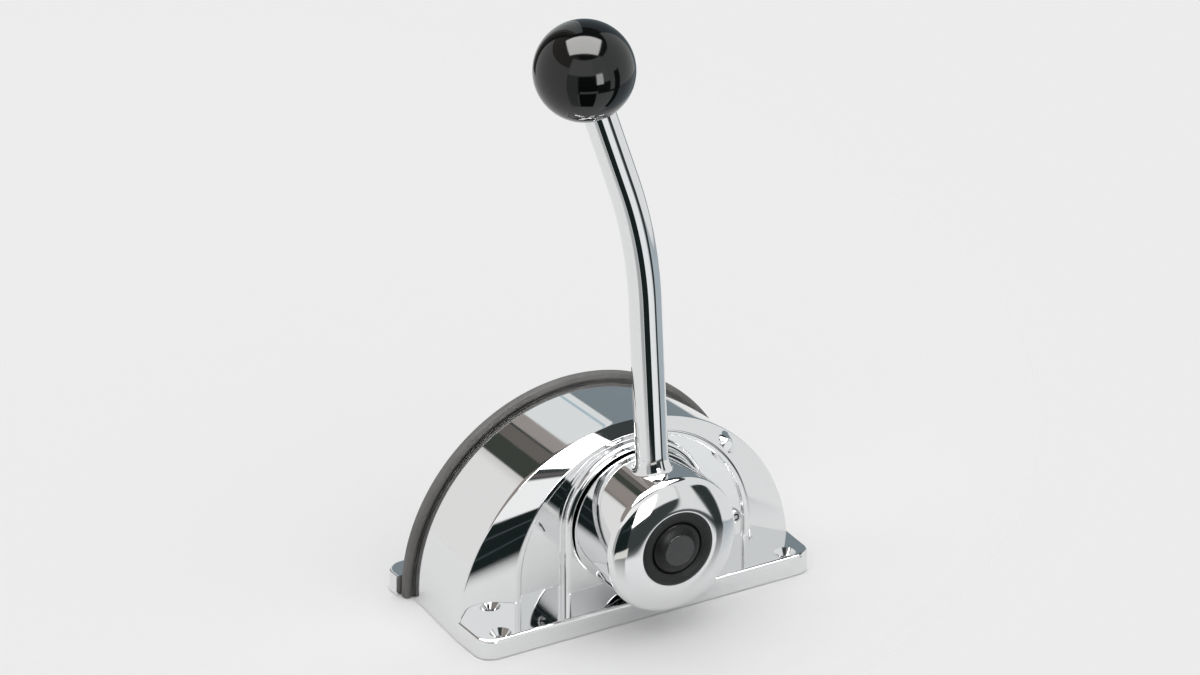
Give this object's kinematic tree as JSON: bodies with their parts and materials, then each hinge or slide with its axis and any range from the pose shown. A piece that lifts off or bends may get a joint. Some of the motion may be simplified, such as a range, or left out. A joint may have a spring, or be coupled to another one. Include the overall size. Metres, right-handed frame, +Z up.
{
  "type": "boat throttle control lever",
  "caption": "Top-mount single-lever engine control: chrome half-round housing, bent lever with ball knob, centre push button, gear and crank drive inside.",
  "frame": {"origin": "on the mounting plane, in the middle of the four mounting holes", "axes": "+X along the base, -Y towards the person at the controls, +Z up from the deck"},
  "size_m": [0.19, 0.1245, 0.3365],
  "materials": {
    "chrome": "polished chrome plate",
    "strip_rubber": "dark grey rubber, fine grain",
    "knob_black": "glossy black phenolic",
    "bezel_black": "satin dark grey plastic",
    "button_black": "satin black plastic",
    "disc_gloss": "glossy black plastic, bare",
    "brass": "turned brass",
    "gear_steel": "oiled machined steel",
    "shaft_steel": "ground stainless steel",
    "spring_steel": "spring steel",
    "screw_steel": "stainless screw",
    "bracket_zinc": "zinc-plated sheet steel",
    "pad_nylon": "nylon"
  },
  "bodies": {
    "casing": {"bracket_screws": "screw_steel", "brake_arm": "bracket_zinc", "brake_pad": "pad_nylon", "cable_bracket": "bracket_zinc", "cable_glands": "brass", "cover_screws": "screw_steel", "friction_nut": "screw_steel", "friction_screw": "screw_steel", "front_bush": "brass", "front_housing": "chrome", "gland_shelves": "bracket_zinc", "rear_bush": "brass", "rear_cover": "chrome", "rubber_strip": "strip_rubber", "shaft_seal": "strip_rubber", "shift_stud": "shaft_steel", "shift_stud_clip": "spring_steel", "thrust_washer": "shaft_steel"},
    "lever": {"lever_arm": "chrome", "hub_barrel": "chrome", "knob": "knob_black", "knob_insert": "brass", "button_bezel": "bezel_black", "main_shaft": "shaft_steel", "hub_grub_screw": "screw_steel", "shaft_clip": "spring_steel", "brake_drum": "gear_steel", "shift_pinion": "gear_steel", "throttle_crank": "gear_steel", "roll_pins": "shaft_steel", "throttle_pivot_pin": "shaft_steel", "throttle_pivot_clip": "spring_steel", "button_spring": "spring_steel"},
    "button": {"push_button": "button_black", "button_disc": "disc_gloss", "push_rod": "shaft_steel", "clutch_pin": "shaft_steel"},
    "shift_gears": {"shift_gear": "gear_steel", "shift_arm": "gear_steel", "arm_rivets": "gear_steel", "shift_pivot_pin": "shaft_steel", "shift_pivot_clip": "spring_steel"},
    "throttle_swivel": {"throttle_trunnion": "brass", "throttle_wire_screw": "screw_steel"},
    "shift_swivel": {"shift_trunnion": "brass", "shift_wire_screw": "screw_steel"}
  },
  "joints": [
    {"name": "lever_pivot", "type": "hinge", "parent": "casing", "child": "lever", "pos_m": [0, 0, 0.05], "axis": [0, 1, 0], "range_deg": [-75, 75]},
    {"name": "button_press", "type": "slide", "parent": "lever", "child": "button", "axis": [0, 1, 0], "range_m": [0, 0.005], "stiffness_N_per_m": 500, "springref_m": -0.004, "deforming": ["button_spring"]},
    {"name": "shift_gear_pivot", "type": "hinge", "parent": "casing", "child": "shift_gears", "pos_m": [-0.04238, 0, 0.03458], "axis": [0, 1, 0], "range_deg": [-50.2, 50.2]},
    {"name": "throttle_trunnion_pivot", "type": "hinge", "parent": "lever", "child": "throttle_swivel", "pos_m": [0, 0, 0.028], "axis": [0, 1, 0], "range_deg": [-75, 75]},
    {"name": "shift_trunnion_pivot", "type": "hinge", "parent": "shift_gears", "child": "shift_swivel", "pos_m": [-0.06556, 0, 0.04079], "axis": [0, 1, 0], "range_deg": [-50, 50]}
  ],
  "couplings": [
    {"joint": "shift_gear_pivot", "follows": "lever_pivot", "ratio": -0.66667}
  ]
}
